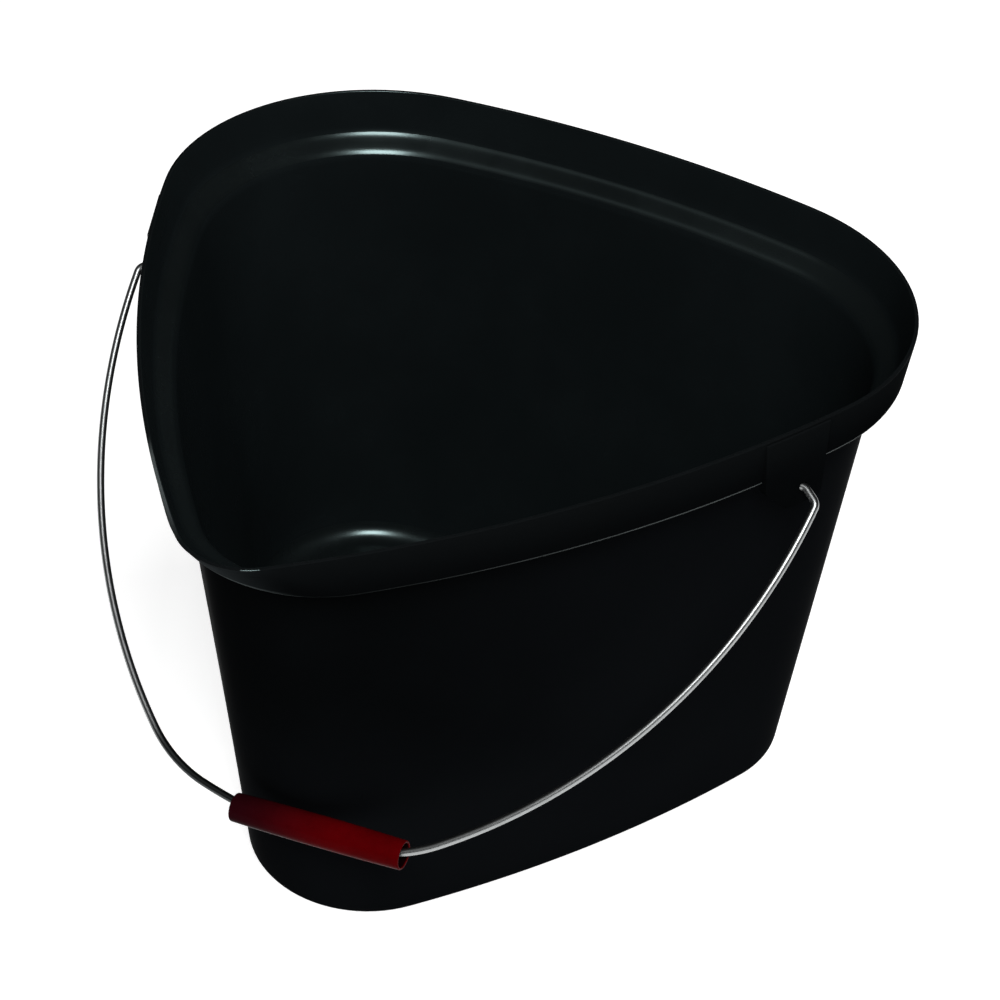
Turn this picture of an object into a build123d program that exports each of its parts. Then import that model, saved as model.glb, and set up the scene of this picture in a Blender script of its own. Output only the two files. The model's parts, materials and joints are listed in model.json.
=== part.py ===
from build123d import *
import os
from collections import namedtuple
from math import asin, atan2, ceil, cos, degrees, hypot, radians, sin, sqrt, tan

# Builders bucket: a three-cornered moulded bucket, its wire bail and the loose grip tube on the bail.
# Millimetres. +Z is up, X runs along the bail's hinge line, and the pouring corner points to -Y.
# The origin is on the floor under the middle of the rim's length and width.

# Heights above the floor
RIM_HEIGHT = 248.0
COLLAR_HEIGHT = 23.4
COLLAR_FOOT = RIM_HEIGHT - COLLAR_HEIGHT
LEDGE_TOP = RIM_HEIGHT - 20.2
LEDGE_FOOT = RIM_HEIGHT - 27.2
WALL_TOP = RIM_HEIGHT - 29.5

# Insets from the collar's plan, and thicknesses
COLLAR_DRAFT = 2.8
LEDGE_TOP_INSET = 6.8
LEDGE_FOOT_INSET = 16.3
WALL_TOP_INSET = 14.4
WALL = 2.2
LIP = 1.8
FLOOR = 2.6
FOOT_RING_HEIGHT = 1.0
FOOT_RING_WIDTH = 7.0

# Rounded and bevelled edges. A round of the walls is drawn in rings, each turning at most RING_TURN degrees.
RING_TURN = 15.0
HEEL_ROUND = 3.0
FLOOR_ROUND = 10.0
LEDGE_ROUND = 9.5
COLLAR_BEVEL = 0.8
LIP_BEVEL = 0.4
RECESS_BEVEL = 0.4

# Each plan is a rounded triangle: a front corner, two rear corners, two bowed sides and a bowed back.
Plan = namedtuple("Plan", "front_y front_r rear_x rear_y rear_r side_r back_r")
Level = namedtuple("Level", "plan z")


def make_plan(front, front_r, half_width, rear_r, back, side_r, back_r):
    """A plan from its reach to the front, sides and back, and the radii of its corners and sides."""
    rear_x = half_width - rear_r
    rear_y = back - back_r + sqrt((back_r - rear_r) ** 2 - rear_x**2)
    return Plan(front_r - front, front_r, rear_x, rear_y, rear_r, side_r, back_r)


RIM_PLAN = make_plan(
    front=185.9, front_r=30.0, half_width=180.0, rear_r=100.5, back=185.0, side_r=637.0, back_r=587.0
)
COLLAR_PLAN = make_plan(
    front=169.2, front_r=66.6, half_width=180.0, rear_r=100.5, back=185.0, side_r=571.0, back_r=587.0
)
BASE_PLAN = make_plan(
    front=118.0, front_r=56.2, half_width=143.0, rear_r=53.8, back=142.0, side_r=664.0, back_r=587.0
)
WELL_BASE_PLAN = make_plan(
    front=118.0, front_r=56.2, half_width=138.4, rear_r=60.8, back=139.0, side_r=664.0, back_r=587.0
)

# Ears: upright pads on the two front sides, hanging below the collar, with a hole along X for the wire.
# Distances forward and rearward are taken along the pad from EAR_Y.
EAR_Y = 13.3
EAR_PROUD = 0.5
EAR_THICKNESS = 4.6
EAR_TOP = RIM_HEIGHT - 1.6
EAR_CUT_TOP = RIM_HEIGHT - 28.4
EAR_BOTTOM = RIM_HEIGHT - 40.7
EAR_TOP_FORWARD = 18.6
EAR_CUT_FORWARD = 15.8
EAR_TIP_FORWARD = 2.4
EAR_REARWARD = 16.4
EAR_CORNER_ROUND = 4.0
EAR_BEVEL = 0.5

# Bail: a bow of wire in one plane, hinged on its two turned-in ends
HINGE_Y = 17.7
HINGE_Z = RIM_HEIGHT - 31.8
WIRE_DIAMETER = 3.5
WIRE_PLAY = 0.5
BAIL_LEAN = 47.2
BAIL_HALF_WIDTH = 171.6
BAIL_REACH = 215.0
ARM_RADIUS = 265.7
ARM_CENTRE_RISE = 9.5
SHOULDER_RADIUS = 69.5
MIDDLE_RADIUS = 261.6
HOOK_X = 164.3
HOOK_SLOPE = 37.0
HOOK_RADIUS = 4.0
TAIL_END_X = 151.5

# Grip: a thin tube, a little swollen in the middle, that hangs loose on the wire and has slid towards +X
GRIP_MIDDLE_DIAMETER = 14.1
GRIP_END_DIAMETER = 13.0
GRIP_BORE = 10.9
GRIP_LENGTH = 82.0
GRIP_STRAIGHT = 27.0
GRIP_SLIDE = 18.6
GRIP_TILT = 6.6
GRIP_DROP = 3.2
GRIP_HANG = 1.9
GRIP_BEVEL = 0.4


def inset_plan(plan, inset):
    """The same plan with every arc drawn in by an equal distance."""
    return plan._replace(
        front_r=plan.front_r - inset,
        rear_r=plan.rear_r - inset,
        side_r=plan.side_r - inset,
        back_r=plan.back_r - inset,
    )


def side_centre(plan):
    """Centre of the arc of the +X side, which touches the front corner and the rear corner from outside."""
    to_front = plan.side_r - plan.front_r
    to_rear = plan.side_r - plan.rear_r
    dx, dy = plan.rear_x, plan.rear_y - plan.front_y
    gap = hypot(dx, dy)
    along = (to_front**2 - to_rear**2 + gap**2) / (2 * gap)
    across = sqrt(to_front**2 - along**2)
    return (dx * along - dy * across) / gap, plan.front_y + (dy * along + dx * across) / gap


def outline(plan, z):
    """The plan as a face at height z, made of six arcs that run into each other."""
    cx, cy = side_centre(plan)
    back_y = plan.rear_y - sqrt((plan.back_r - plan.rear_r) ** 2 - plan.rear_x**2)
    front = degrees(atan2(plan.front_y - cy, -cx))
    rear = degrees(atan2(plan.rear_y - cy, plan.rear_x - cx))
    back = degrees(atan2(plan.rear_y - back_y, plan.rear_x))
    arcs = [
        CenterArc((0, plan.front_y, z), plan.front_r, -180 - front, 180 + 2 * front),
        CenterArc((cx, cy, z), plan.side_r, front, rear - front),
        CenterArc((plan.rear_x, plan.rear_y, z), plan.rear_r, rear, back - rear),
        CenterArc((0, back_y, z), plan.back_r, back, 180 - 2 * back),
        CenterArc((-plan.rear_x, plan.rear_y, z), plan.rear_r, 180 - back, back - rear),
        CenterArc((-cx, cy, z), plan.side_r, 180 - rear, rear - front),
    ]
    return Face(Wire(arcs))


def mix(levels, weights):
    """The level that lies between several levels, by weight."""
    total = sum(weights)

    def average(values):
        return sum(weight * value for weight, value in zip(weights, values)) / total

    plan = Plan(*(average(values) for values in zip(*(level.plan for level in levels))))
    return Level(plan, average([level.z for level in levels]))


def level_at(z, low, high):
    """The level at height z on the straight-drawn wall from one level up to another."""
    return mix((low, high), (high.z - z, z - low.z))


def side_step(low, high):
    """The way from one level to the next, outward and up, at the bucket's widest place."""
    outward = high.plan.rear_x + high.plan.rear_r - low.plan.rear_x - low.plan.rear_r
    return Vector(outward, high.z - low.z)


def rounded(before, corner, after, radius):
    """Levels that turn a corner of the profile on an arc."""
    arriving, leaving = side_step(before, corner), side_step(corner, after)
    turn = arriving.get_angle(leaving)
    reach = radius * tan(radians(turn / 2))
    start = mix((corner, before), (arriving.length - reach, reach))
    end = mix((corner, after), (leaving.length - reach, reach))
    rings = ceil(turn / RING_TURN)
    pull = 2 * cos(radians(turn / 2))
    shares = [ring / rings for ring in range(rings + 1)]
    return [mix((start, corner, end), ((1 - s) ** 2, pull * s * (1 - s), s**2)) for s in shares]


def stack(levels):
    """A solid with straight-drawn walls from each level up to the next."""
    return loft([outline(*level) for level in levels], ruled=True)


def outer_form():
    """The bucket's outside, filled: rounded heel, tapering wall, flaring ledge and a bevelled collar."""
    underside = Level(inset_plan(BASE_PLAN, FOOT_RING_WIDTH), 0)
    base = Level(BASE_PLAN, 0)
    wall_top = Level(inset_plan(COLLAR_PLAN, WALL_TOP_INSET), WALL_TOP)
    collar_foot = Level(inset_plan(COLLAR_PLAN, COLLAR_DRAFT), COLLAR_FOOT)
    rim = Level(RIM_PLAN, RIM_HEIGHT)
    return stack(
        [
            *rounded(underside, base, wall_top, HEEL_ROUND),
            wall_top,
            level_at(COLLAR_FOOT - COLLAR_BEVEL / 2, wall_top, collar_foot),
            level_at(COLLAR_FOOT + COLLAR_BEVEL, collar_foot, rim),
            level_at(RIM_HEIGHT - LIP_BEVEL, collar_foot, rim),
            Level(inset_plan(RIM_PLAN, LIP_BEVEL), RIM_HEIGHT),
        ]
    )


def inner_form():
    """The hollow of the bucket: well, inner ledge and mouth, carried a little above the rim."""
    ledge_foot = Level(inset_plan(COLLAR_PLAN, LEDGE_FOOT_INSET), LEDGE_FOOT)
    well_foot = Level(inset_plan(WELL_BASE_PLAN, WALL), 0)
    floor_edge = level_at(FOOT_RING_HEIGHT + FLOOR, well_foot, ledge_foot)
    floor = floor_edge._replace(plan=inset_plan(floor_edge.plan, 2 * FLOOR_ROUND))
    collar_foot = Level(inset_plan(COLLAR_PLAN, COLLAR_DRAFT), COLLAR_FOOT)
    collar = level_at(LEDGE_TOP, collar_foot, Level(RIM_PLAN, RIM_HEIGHT))
    share = (LEDGE_TOP - COLLAR_FOOT) / COLLAR_HEIGHT
    ledge_top = collar._replace(plan=inset_plan(collar.plan, LEDGE_TOP_INSET - COLLAR_DRAFT * (1 - share)))
    mouth = Level(inset_plan(RIM_PLAN, LIP), RIM_HEIGHT)
    below_lip = level_at(RIM_HEIGHT - LIP_BEVEL, ledge_top, mouth)
    bevel_plan = inset_plan(RIM_PLAN, LIP - LIP_BEVEL)
    return stack(
        [
            *rounded(floor, floor_edge, ledge_foot, FLOOR_ROUND),
            *rounded(floor_edge, ledge_foot, ledge_top, LEDGE_ROUND),
            *rounded(ledge_foot, ledge_top, below_lip, LEDGE_ROUND),
            below_lip,
            Level(bevel_plan, RIM_HEIGHT),
            Level(bevel_plan, RIM_HEIGHT + LIP),
        ]
    )


def ear_blank():
    """The +X ear as a plate whose outer face stands a little proud of the rim's side."""
    cx, cy = side_centre(RIM_PLAN)
    turn = asin((EAR_Y - cy) / RIM_PLAN.side_r)
    outward = Vector(cos(turn), sin(turn), 0)
    reach = RIM_PLAN.side_r + EAR_PROUD
    rearward = Vector(-sin(turn), cos(turn), 0)
    face = Plane(Vector(cx, cy, 0) + outward * reach, x_dir=rearward, z_dir=outward)
    shape = make_face(
        Polyline(
            (-EAR_TOP_FORWARD, EAR_TOP),
            (-EAR_CUT_FORWARD, EAR_CUT_TOP),
            (-EAR_TIP_FORWARD, EAR_BOTTOM),
            (EAR_REARWARD, EAR_BOTTOM),
            (EAR_REARWARD, EAR_TOP),
            close=True,
        )
    )
    low_corners = shape.vertices().sort_by(Axis.Y)[:3]
    shape = fillet(low_corners, EAR_CORNER_ROUND)
    plate = extrude(face * shape, amount=-EAR_THICKNESS)
    outer_edges = plate.faces().filter_by(lambda f: f.normal_at().dot(outward) > 0.99).edges()
    return chamfer(outer_edges, EAR_BEVEL)


def ear_hole():
    """The drilling through the +X ear, along the hinge line and short of the bucket's wall."""
    radius = WIRE_DIAMETER / 2 + WIRE_PLAY
    start = TAIL_END_X + 1
    length = BAIL_HALF_WIDTH - start
    return Plane((start, HINGE_Y, HINGE_Z), z_dir=(1, 0, 0)) * Cylinder(
        radius, length, align=(Align.CENTER, Align.CENTER, Align.MIN)
    )


def make_bucket_body():
    """The moulding: shell with a bevelled lip, two drilled ears and a recess under the floor."""
    hollow = inner_form()
    shell = outer_form() - hollow
    recess_plan = inset_plan(BASE_PLAN, FOOT_RING_WIDTH)
    recess_top = Level(inset_plan(recess_plan, RECESS_BEVEL), FOOT_RING_HEIGHT)
    recess = stack([Level(recess_plan, 0), Level(recess_plan, FOOT_RING_HEIGHT - RECESS_BEVEL), recess_top])
    ear = ear_blank() - hollow
    hole = ear_hole()
    body = shell - recess + ear + mirror(ear, about=Plane.YZ)
    return body - hole - mirror(hole, about=Plane.YZ)


def bail_plane():
    """The bail's own plane: x along the hinge line, y from the hinge towards the grip."""
    lean = radians(BAIL_LEAN)
    reach_dir = Vector(0, -sin(lean), -cos(lean))
    return Plane((0, HINGE_Y, HINGE_Z), x_dir=(1, 0, 0), z_dir=Vector(1, 0, 0).cross(reach_dir))


def touching_centre(first, first_r, second, second_r, radius):
    """Centre of the arc that touches two larger arcs from inside, on the side away from the hinge."""
    near, far = first_r - radius, second_r - radius
    dx, dy = second.X - first.X, second.Y - first.Y
    gap = hypot(dx, dy)
    along = (near**2 - far**2 + gap**2) / (2 * gap)
    across = sqrt(near**2 - along**2)
    return first + Vector(dx * along - dy * across, dy * along + dx * across) / gap


def hook_bends(arm):
    """The turned-in end's bends: start, centre and end of the inner one, start and centre of the outer."""
    slope = radians(HOOK_SLOPE)
    along = Vector(cos(slope), sin(slope))
    across = Vector(-sin(slope), cos(slope))
    corner = Vector(HOOK_X, 0)
    short = HOOK_RADIUS * tan(slope / 2)
    inner_start = corner - Vector(short, 0)
    inner_bend = inner_start + Vector(0, HOOK_RADIUS)
    inner_end = corner + along * short
    from_arm = corner + across * HOOK_RADIUS - arm
    ahead = from_arm.dot(along)
    run = sqrt(ahead**2 - from_arm.dot(from_arm) + (ARM_RADIUS - HOOK_RADIUS) ** 2) - ahead
    outer_start = corner + along * run
    outer_bend = outer_start + across * HOOK_RADIUS
    return inner_start, inner_bend, inner_end, outer_start, outer_bend


def turn_from(centre, point):
    """Direction of a point from a centre, in degrees."""
    return degrees(atan2(point.Y - centre.Y, point.X - centre.X))


def bail_path():
    """Centre line of the wire in the bail's plane, from one turned-in end to the other."""
    arm = Vector(BAIL_HALF_WIDTH - ARM_RADIUS, -ARM_CENTRE_RISE)
    middle = Vector(0, BAIL_REACH - MIDDLE_RADIUS)
    shoulder = touching_centre(arm, ARM_RADIUS, middle, MIDDLE_RADIUS, SHOULDER_RADIUS)
    inner_start, inner_bend, inner_end, outer_start, outer_bend = hook_bends(arm)
    end_turn = turn_from(arm, outer_bend)
    arm_turn = turn_from(arm, shoulder)
    middle_turn = turn_from(middle, shoulder)
    half = [
        Line((TAIL_END_X, 0), inner_start),
        CenterArc(inner_bend, HOOK_RADIUS, -90, HOOK_SLOPE),
        Line(inner_end, outer_start),
        CenterArc(outer_bend, HOOK_RADIUS, HOOK_SLOPE - 90, end_turn + 90 - HOOK_SLOPE),
        CenterArc(arm, ARM_RADIUS, end_turn, arm_turn - end_turn),
        CenterArc(shoulder, SHOULDER_RADIUS, arm_turn, middle_turn - arm_turn),
    ]
    bow = CenterArc(middle, MIDDLE_RADIUS, middle_turn, 180 - 2 * middle_turn)
    other_half = [edge.mirror(Plane.YZ) for edge in half]
    return Wire([*half, bow, *other_half])


def make_bail_wire():
    """Round wire swept along the bail's centre line."""
    plane = bail_plane()
    path = plane * bail_path()
    start = plane.from_local_coords(Vector(TAIL_END_X, 0, 0))
    section = Plane(start, z_dir=(1, 0, 0)) * Circle(WIRE_DIAMETER / 2)
    return sweep(section, path=path)


def grip_axis():
    """Middle and direction of the grip's axis, slid along the wire, tilted with it and hanging below it."""
    plane = bail_plane()
    tilt = radians(GRIP_TILT)
    middle = plane.from_local_coords(Vector(GRIP_SLIDE, BAIL_REACH - GRIP_DROP, GRIP_HANG))
    along = plane.x_dir * cos(tilt) - plane.y_dir * sin(tilt)
    return middle, along


def make_grip_tube():
    """Thin-walled tube with a straight middle, two gently tapering ends and bevelled edges."""
    middle, along = grip_axis()
    thick, end, bore = GRIP_MIDDLE_DIAMETER / 2, GRIP_END_DIAMETER / 2, GRIP_BORE / 2
    half, straight = GRIP_LENGTH / 2, GRIP_STRAIGHT / 2
    outside = [(end, -half), (thick, -straight), (thick, straight), (end, half)]
    section = make_face(Polyline(*outside, (bore, half), (bore, -half), close=True))
    tube = revolve(Plane.XZ * section, axis=Axis.Z)
    rings = tube.edges().filter_by(GeomType.CIRCLE).group_by(Axis.Z)
    return Plane(middle, z_dir=along) * chamfer(rings[0] + rings[-1], GRIP_BEVEL)


def main():
    os.makedirs("parts", exist_ok=True)
    nodes = {
        "bucket_body": make_bucket_body(),
        "bail_wire": make_bail_wire(),
        "grip_tube": make_grip_tube(),
    }
    for name, shape in nodes.items():
        export_step(shape, f"parts/{name}.step")


main()
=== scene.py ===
import json
from collections import namedtuple
from math import asin, atan2, cos, hypot, pi, radians, sin, sqrt, tan

import bmesh
import bpy
from mathutils import Matrix, Vector


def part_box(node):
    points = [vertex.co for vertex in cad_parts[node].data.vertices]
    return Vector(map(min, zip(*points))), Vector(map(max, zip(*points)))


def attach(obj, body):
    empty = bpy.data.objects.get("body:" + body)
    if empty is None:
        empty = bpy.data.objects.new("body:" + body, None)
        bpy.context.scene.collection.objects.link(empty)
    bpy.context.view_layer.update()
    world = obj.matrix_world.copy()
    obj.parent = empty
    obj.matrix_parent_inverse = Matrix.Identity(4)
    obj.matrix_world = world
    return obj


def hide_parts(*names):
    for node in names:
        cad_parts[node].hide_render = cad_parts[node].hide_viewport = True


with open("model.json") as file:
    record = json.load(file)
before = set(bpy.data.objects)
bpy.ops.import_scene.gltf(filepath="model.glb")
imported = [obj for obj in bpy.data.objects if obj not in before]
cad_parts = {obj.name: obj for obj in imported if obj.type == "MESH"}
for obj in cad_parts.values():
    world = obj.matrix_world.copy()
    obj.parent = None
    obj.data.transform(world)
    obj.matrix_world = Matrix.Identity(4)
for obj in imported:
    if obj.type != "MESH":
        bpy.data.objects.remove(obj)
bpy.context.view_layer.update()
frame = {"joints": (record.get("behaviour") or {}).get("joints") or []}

bl_info = {
    "name": "Builders bucket",
    "version": (1, 0, 0),
    "blender": (4, 5, 0),
    "location": "3D View > Sidebar > Bucket",
    "description": "A three-cornered moulded bucket with a wire bail and a loose tube grip",
    "category": "Add Mesh",
}

# Metres. +Z is up, X runs along the bail's hinge line, and the pouring corner points to -Y.
BODY_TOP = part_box("bucket_body")[1].z
JOINTS = {joint["name"]: joint for joint in frame["joints"]}
HINGE = Vector(JOINTS["bail_swing"]["pos_m"])
GRIP_MIDDLE = Vector(JOINTS["grip_spin"]["pos_m"])
GRIP_ALONG = Vector(JOINTS["grip_spin"]["axis"]).normalized()
MM = 0.001


def number(name, description, default, **kind):
    """A number with its unit, or its subtype and limits."""
    return bpy.props.FloatProperty(name=name, description=description, default=default, **kind)


def numbers(name, description, default, **kind):
    """A few numbers that belong together."""
    return bpy.props.FloatVectorProperty(
        name=name, description=description, default=default, size=len(default), **kind
    )


def length(name, description, default):
    """A size in metres."""
    return number(name, description, default, unit="LENGTH", precision=5)


def angle(name, description, degrees):
    """An angle, given in degrees and kept in radians."""
    return number(name, description, radians(degrees), unit="ROTATION")


def share(name, description, default):
    """A plain number from 0 to 1."""
    return number(name, description, default, min=0, max=1, subtype="FACTOR")


def power(name, description, default):
    """A lamp's power in watts."""
    return number(name, description, default, unit="POWER")


def colour(name, description, default):
    """A linear RGB colour."""
    return numbers(name, description, default, min=0, max=1, subtype="COLOR")


class BucketMoulding(bpy.types.PropertyGroup):
    """Sizes and colours of the moulded bucket."""

    rim_height: length("Rim height", "Top of the rim above the floor", BODY_TOP)
    collar_height: length("Collar height", "Upright band under the rim", 23.4 * MM)
    ledge_top_drop: length("Ledge top", "Depth of the ledge's outer edge below the rim", 20.2 * MM)
    ledge_foot_drop: length("Ledge foot", "Depth of the ledge's inner edge below the rim", 27.2 * MM)
    wall_top_drop: length("Wall top", "Depth of the wall's top below the rim", 29.5 * MM)
    collar_draft: length("Collar draft", "How far the collar draws in towards its foot", 2.8 * MM)
    ledge_top_inset: length("Ledge top inset", "From the collar's plan to the ledge's outer edge", 6.8 * MM)
    ledge_foot_inset: length("Ledge foot inset", "The same to the ledge's inner edge", 16.3 * MM)
    wall_top_inset: length("Wall top inset", "From the collar's plan to the top of the wall", 14.4 * MM)
    wall: length("Wall", "Thickness of the wall", 2.2 * MM)
    lip: length("Lip", "Thickness of the rim", 1.8 * MM)
    floor: length("Floor", "Thickness of the floor", 2.6 * MM)
    foot_ring_height: length("Foot ring height", "Depth of the recess under the floor", 1.0 * MM)
    foot_ring_width: length("Foot ring width", "Width of the ring that the bucket stands on", 7.0 * MM)
    heel_round: length("Heel round", "Radius of the outer edge of the base", 3.0 * MM)
    floor_round: length("Floor round", "Radius inside, between wall and floor", 10.0 * MM)
    ledge_round: length("Ledge round", "Radius of the inner ledge's two edges", 9.5 * MM)
    shoulder_round: length("Shoulder round", "Radius where the wall turns out to the collar", 2.0 * MM)
    collar_round: length("Collar round", "Radius of the collar's lower edge", 1.8 * MM)
    lip_round: length("Lip round", "Radius of the rim's two edges", 0.5 * MM)
    inner_black: colour("Inner black", "Colour of the well and the collar's inside", (0.0054, 0.0073, 0.0079))
    ledge_black: colour("Ledge black", "Colour of the polished ledge and floor", (0.0046, 0.0061, 0.0064))
    inner_gloss: share("Inner gloss", "Reflections of the ledge, the floor and the lip's polished spot", 0.7)
    well_gloss: share("Well gloss", "Reflections of the well's walls and the collar's inside", 0.05)
    inner_roughness: share("Inner roughness", "Roughness of the inside, the rim and the collar's edge", 0.24)
    spot_start: length("Spot start", "Start of the pouring lip's polished spot, along X", 13.5 * MM)
    spot_end: length("Spot end", "End of the pouring lip's polished spot, along X", 18.5 * MM)
    wall_black: colour("Wall black", "Colour of the satin outside", (0.0021, 0.0025, 0.0028))
    wall_gloss: share("Wall gloss", "Reflections of the satin wall", 0.0001)
    collar_gloss: share("Collar gloss", "Reflections of the collar", 0.00002)
    # This is the rim's own colour, and it is also painted on the collar as painted light that grows towards
    # the rim.
    rim_black_and_collar_light: colour("Rim black", "Colour of the rim and of the collar's top", (0.0042, 0.0050, 0.0054))
    rim_gloss: share("Rim gloss", "Reflections of the rim", 0.003)
    # Painted bounce light: a paler colour painted on the wall in patches, low down and on the +X side.
    bounce_black: colour("Bounce black", "Colour of the dusty wall", (0.0045, 0.0052, 0.0061))
    wall_roughness: share("Wall roughness", "Roughness of the satin outside", 0.35)
    # These three colours paint a highlight along the collar's lower edge: pale, dark where the highlight
    # fades, and pale at the pouring corner.
    edge_highlight: colour("Edge black", "Colour of the collar's lower edge, rubbed at +X", (0.075, 0.085, 0.085))
    edge_unlit: colour("Edge dark", "Colour of the same edge where nothing rubs it", (0.010, 0.012, 0.012))
    corner_highlight: colour("Edge worn", "Colour of the same edge at the pouring corner", (0.085, 0.10, 0.10))
    edge_gloss: share("Edge gloss", "Reflections of that edge", 0.002)
    # Painted highlight on the lip beside the pouring corner.
    lip_highlight: colour("Lip worn", "Colour of the worn lip, -X of the pouring corner", (0.06, 0.07, 0.07))
    # Painted sheen on the collar at the pouring corner, in streaks.
    sheen_black: colour("Sheen black", "Colour of the collar's scuffs", (0.023, 0.028, 0.030))


class BucketEars(bpy.types.PropertyGroup):
    """Sizes of the two ears on the front sides."""

    middle_y: length("Place", "Where the ears stand along the bucket", 13.3 * MM)
    proud: length("Proud", "How far the ear stands out of the rim's side", 0.5 * MM)
    thickness: length("Thickness", "Thickness of the ear", 4.6 * MM)
    top_drop: length("Top", "Depth of the ear's top below the rim", 1.6 * MM)
    cut_drop: length("Cut", "Depth below the rim at which the slanting cut begins", 28.4 * MM)
    bottom_drop: length("Bottom", "Depth of the ear's lower edge below the rim", 40.7 * MM)
    top_forward: length("Top forward", "From the place to the front edge, at the top", 18.6 * MM)
    cut_forward: length("Cut forward", "From the place to the front edge, at the slanting cut", 15.8 * MM)
    tip_forward: length("Tip forward", "From the place to the front end of the lower edge", 2.4 * MM)
    rearward: length("Rearward", "From the place to the rear edge", 16.4 * MM)
    corner_round: length("Corner round", "Radius of the ear's lower corners", 4.0 * MM)
    edge_round: length("Edge round", "Radius of the ear's edges", 0.5 * MM)


class BucketBail(bpy.types.PropertyGroup):
    """Sizes and colours of the wire bail."""

    wire: length("Wire", "Diameter of the wire", 3.5 * MM)
    play: length("Play", "Gap between the wire and the ear's hole", 0.5 * MM)
    lean: angle("Lean", "Lean of the resting bail out of the vertical", 47.2)
    half_width: length("Half width", "From the middle to an arm, at the hinge", 171.6 * MM)
    reach: length("Reach", "From the hinge line to the middle of the bow", 215.0 * MM)
    arm_radius: length("Arm radius", "Radius of the arms", 265.7 * MM)
    arm_centre_rise: length("Arm centre", "How far the arms' centres lie beyond the hinge line", 9.5 * MM)
    shoulder_radius: length("Shoulder radius", "Radius between an arm and the middle", 69.5 * MM)
    middle_radius: length("Middle radius", "Radius of the middle of the bow", 261.6 * MM)
    hook_x: length("Hook", "From the middle to where a turned-in end leaves the hinge line", 164.3 * MM)
    hook_slope: angle("Hook slope", "Slope of a turned-in end towards the arm", 37.0)
    hook_radius: length("Hook radius", "Radius of a turned-in end's two bends", 4.0 * MM)
    tail_end: length("Tail end", "From the middle to the cut end of the wire", 151.5 * MM)
    steel: colour("Steel", "Colour of the wire", (0.30, 0.31, 0.31))
    dull: colour("Dull", "Colour of the wire's dull patches", (0.265, 0.275, 0.275))
    # Painted shade on the wire beside the grip.
    shaded: colour("Shaded", "Colour of the wire beside the grip's stained end", (0.05, 0.055, 0.055))
    roughness: share("Roughness", "Roughness of the wire", 0.34)


class BucketGrip(bpy.types.PropertyGroup):
    """Sizes and colours of the tube grip."""

    middle_diameter: length("Middle diameter", "Outer diameter at the tube's swollen middle", 14.1 * MM)
    end_diameter: length("End diameter", "Outer diameter at the tube's ends", 13.0 * MM)
    bore: length("Bore", "Inner diameter of the tube", 10.9 * MM)
    length: length("Length", "Length of the tube", 82.0 * MM)
    edge_round: length("Edge round", "Radius of the tube's cut edges", 0.4 * MM)
    red: colour("Red", "Colour of the tube", (0.085, 0.0003, 0.0012))
    deep_red: colour("Deep red", "Colour of the tube's stained end", (0.020, 0.0016, 0.0036))
    # Painted shade in the bore and on the tube's -X end face.
    bore_red: colour("Bore red", "Colour of the soiled bore", (0.006, 0.0006, 0.0010))
    gloss: share("Gloss", "Reflections of the tube", 0.006)
    roughness: share("Roughness", "Roughness of the tube", 0.2)


class BucketStage(bpy.types.PropertyGroup):
    """Camera, light and floor."""

    azimuth: angle("Azimuth", "Turn of the camera and the key lamp from the front", 26.84)
    elevation: angle("Elevation", "Camera's height above the horizon", 38.11)
    roll: angle("Roll", "Camera's turn about its own axis", -2.8)
    distance: length("Distance", "From the camera to the point it looks at", 1.2381)
    target: numbers("Target", "Point that the camera and the lamps face", (0, 0.0524, 0.117), unit="LENGTH")
    lens: number("Lens", "Focal length on a 36 mm sensor", 93.67, unit="CAMERA")
    shift: numbers("Shift", "Shift of the picture, in frame widths", (0.00687, 0.00341))
    floor_colour: colour("Floor", "Colour of the floor", (0.86, 0.86, 0.86))
    key_power: power("Key", "Power of the lamp over the camera", 21)
    key_elevation: angle("Key elevation", "Height of the key lamp and the card above the horizon", 50.0)
    key_size: length("Key size", "Side of the key lamp", 0.6)
    fill_azimuth: angle("Fill azimuth", "Turn of the fill lamp from the front", 130.0)
    fill_elevation: angle("Fill elevation", "Height of the fill lamp above the horizon", 50.0)
    fill_power: power("Fill", "Power of the lamp at the side", 16)
    fill_size: length("Fill size", "Side of the fill lamp", 1.2)
    card_azimuth: angle("Card azimuth", "Turn of the dim card from the front", -29.0)
    card_power: power("Card", "Power of the dim card that the back ledge reflects", 0.28)
    card_width: length("Card width", "Width of the dim card", 1.0)
    card_height: length("Card height", "Height of the dim card", 0.4)
    sky: share("Sky", "Strength of the light from all round", 0.01)
    glow: share("Glow", "What the floor adds to its own colour where it is seen", 0.71)


# Lines and meshes


def arc(centre, radius, start, sweep, steps):
    """Points of an arc in the plane, without its last point. Angles are in radians."""
    turns = [start + sweep * k / steps for k in range(steps)]
    return [(centre[0] + radius * cos(t), centre[1] + radius * sin(t)) for t in turns]


def touching_centre(first, first_radius, second, second_radius, radius):
    """Centre of the arc that runs on from one arc to another, left of the line between their centres."""
    near, far = abs(first_radius - radius), abs(second_radius - radius)
    dx, dy = second[0] - first[0], second[1] - first[1]
    gap = hypot(dx, dy)
    along = (near**2 - far**2 + gap**2) / (2 * gap)
    across = sqrt(near**2 - along**2)
    return first[0] + (dx * along - dy * across) / gap, first[1] + (dy * along + dx * across) / gap


ROUND_STEPS = 6


def corner_round(before, corner, after, radius):
    """Points of the arc that rounds one corner of a line in space."""
    if radius == 0:
        return [corner]
    back, on = (before - corner).normalized(), (after - corner).normalized()
    half = back.angle(on) / 2
    centre = corner + (back + on).normalized() * (radius / sin(half))
    start = corner + back * (radius / tan(half)) - centre
    end = corner + on * (radius / tan(half)) - centre
    spokes = [start.slerp(end, k / ROUND_STEPS) for k in range(ROUND_STEPS + 1)]
    return [centre + spoke * radius / spoke.length for spoke in spokes]


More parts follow.
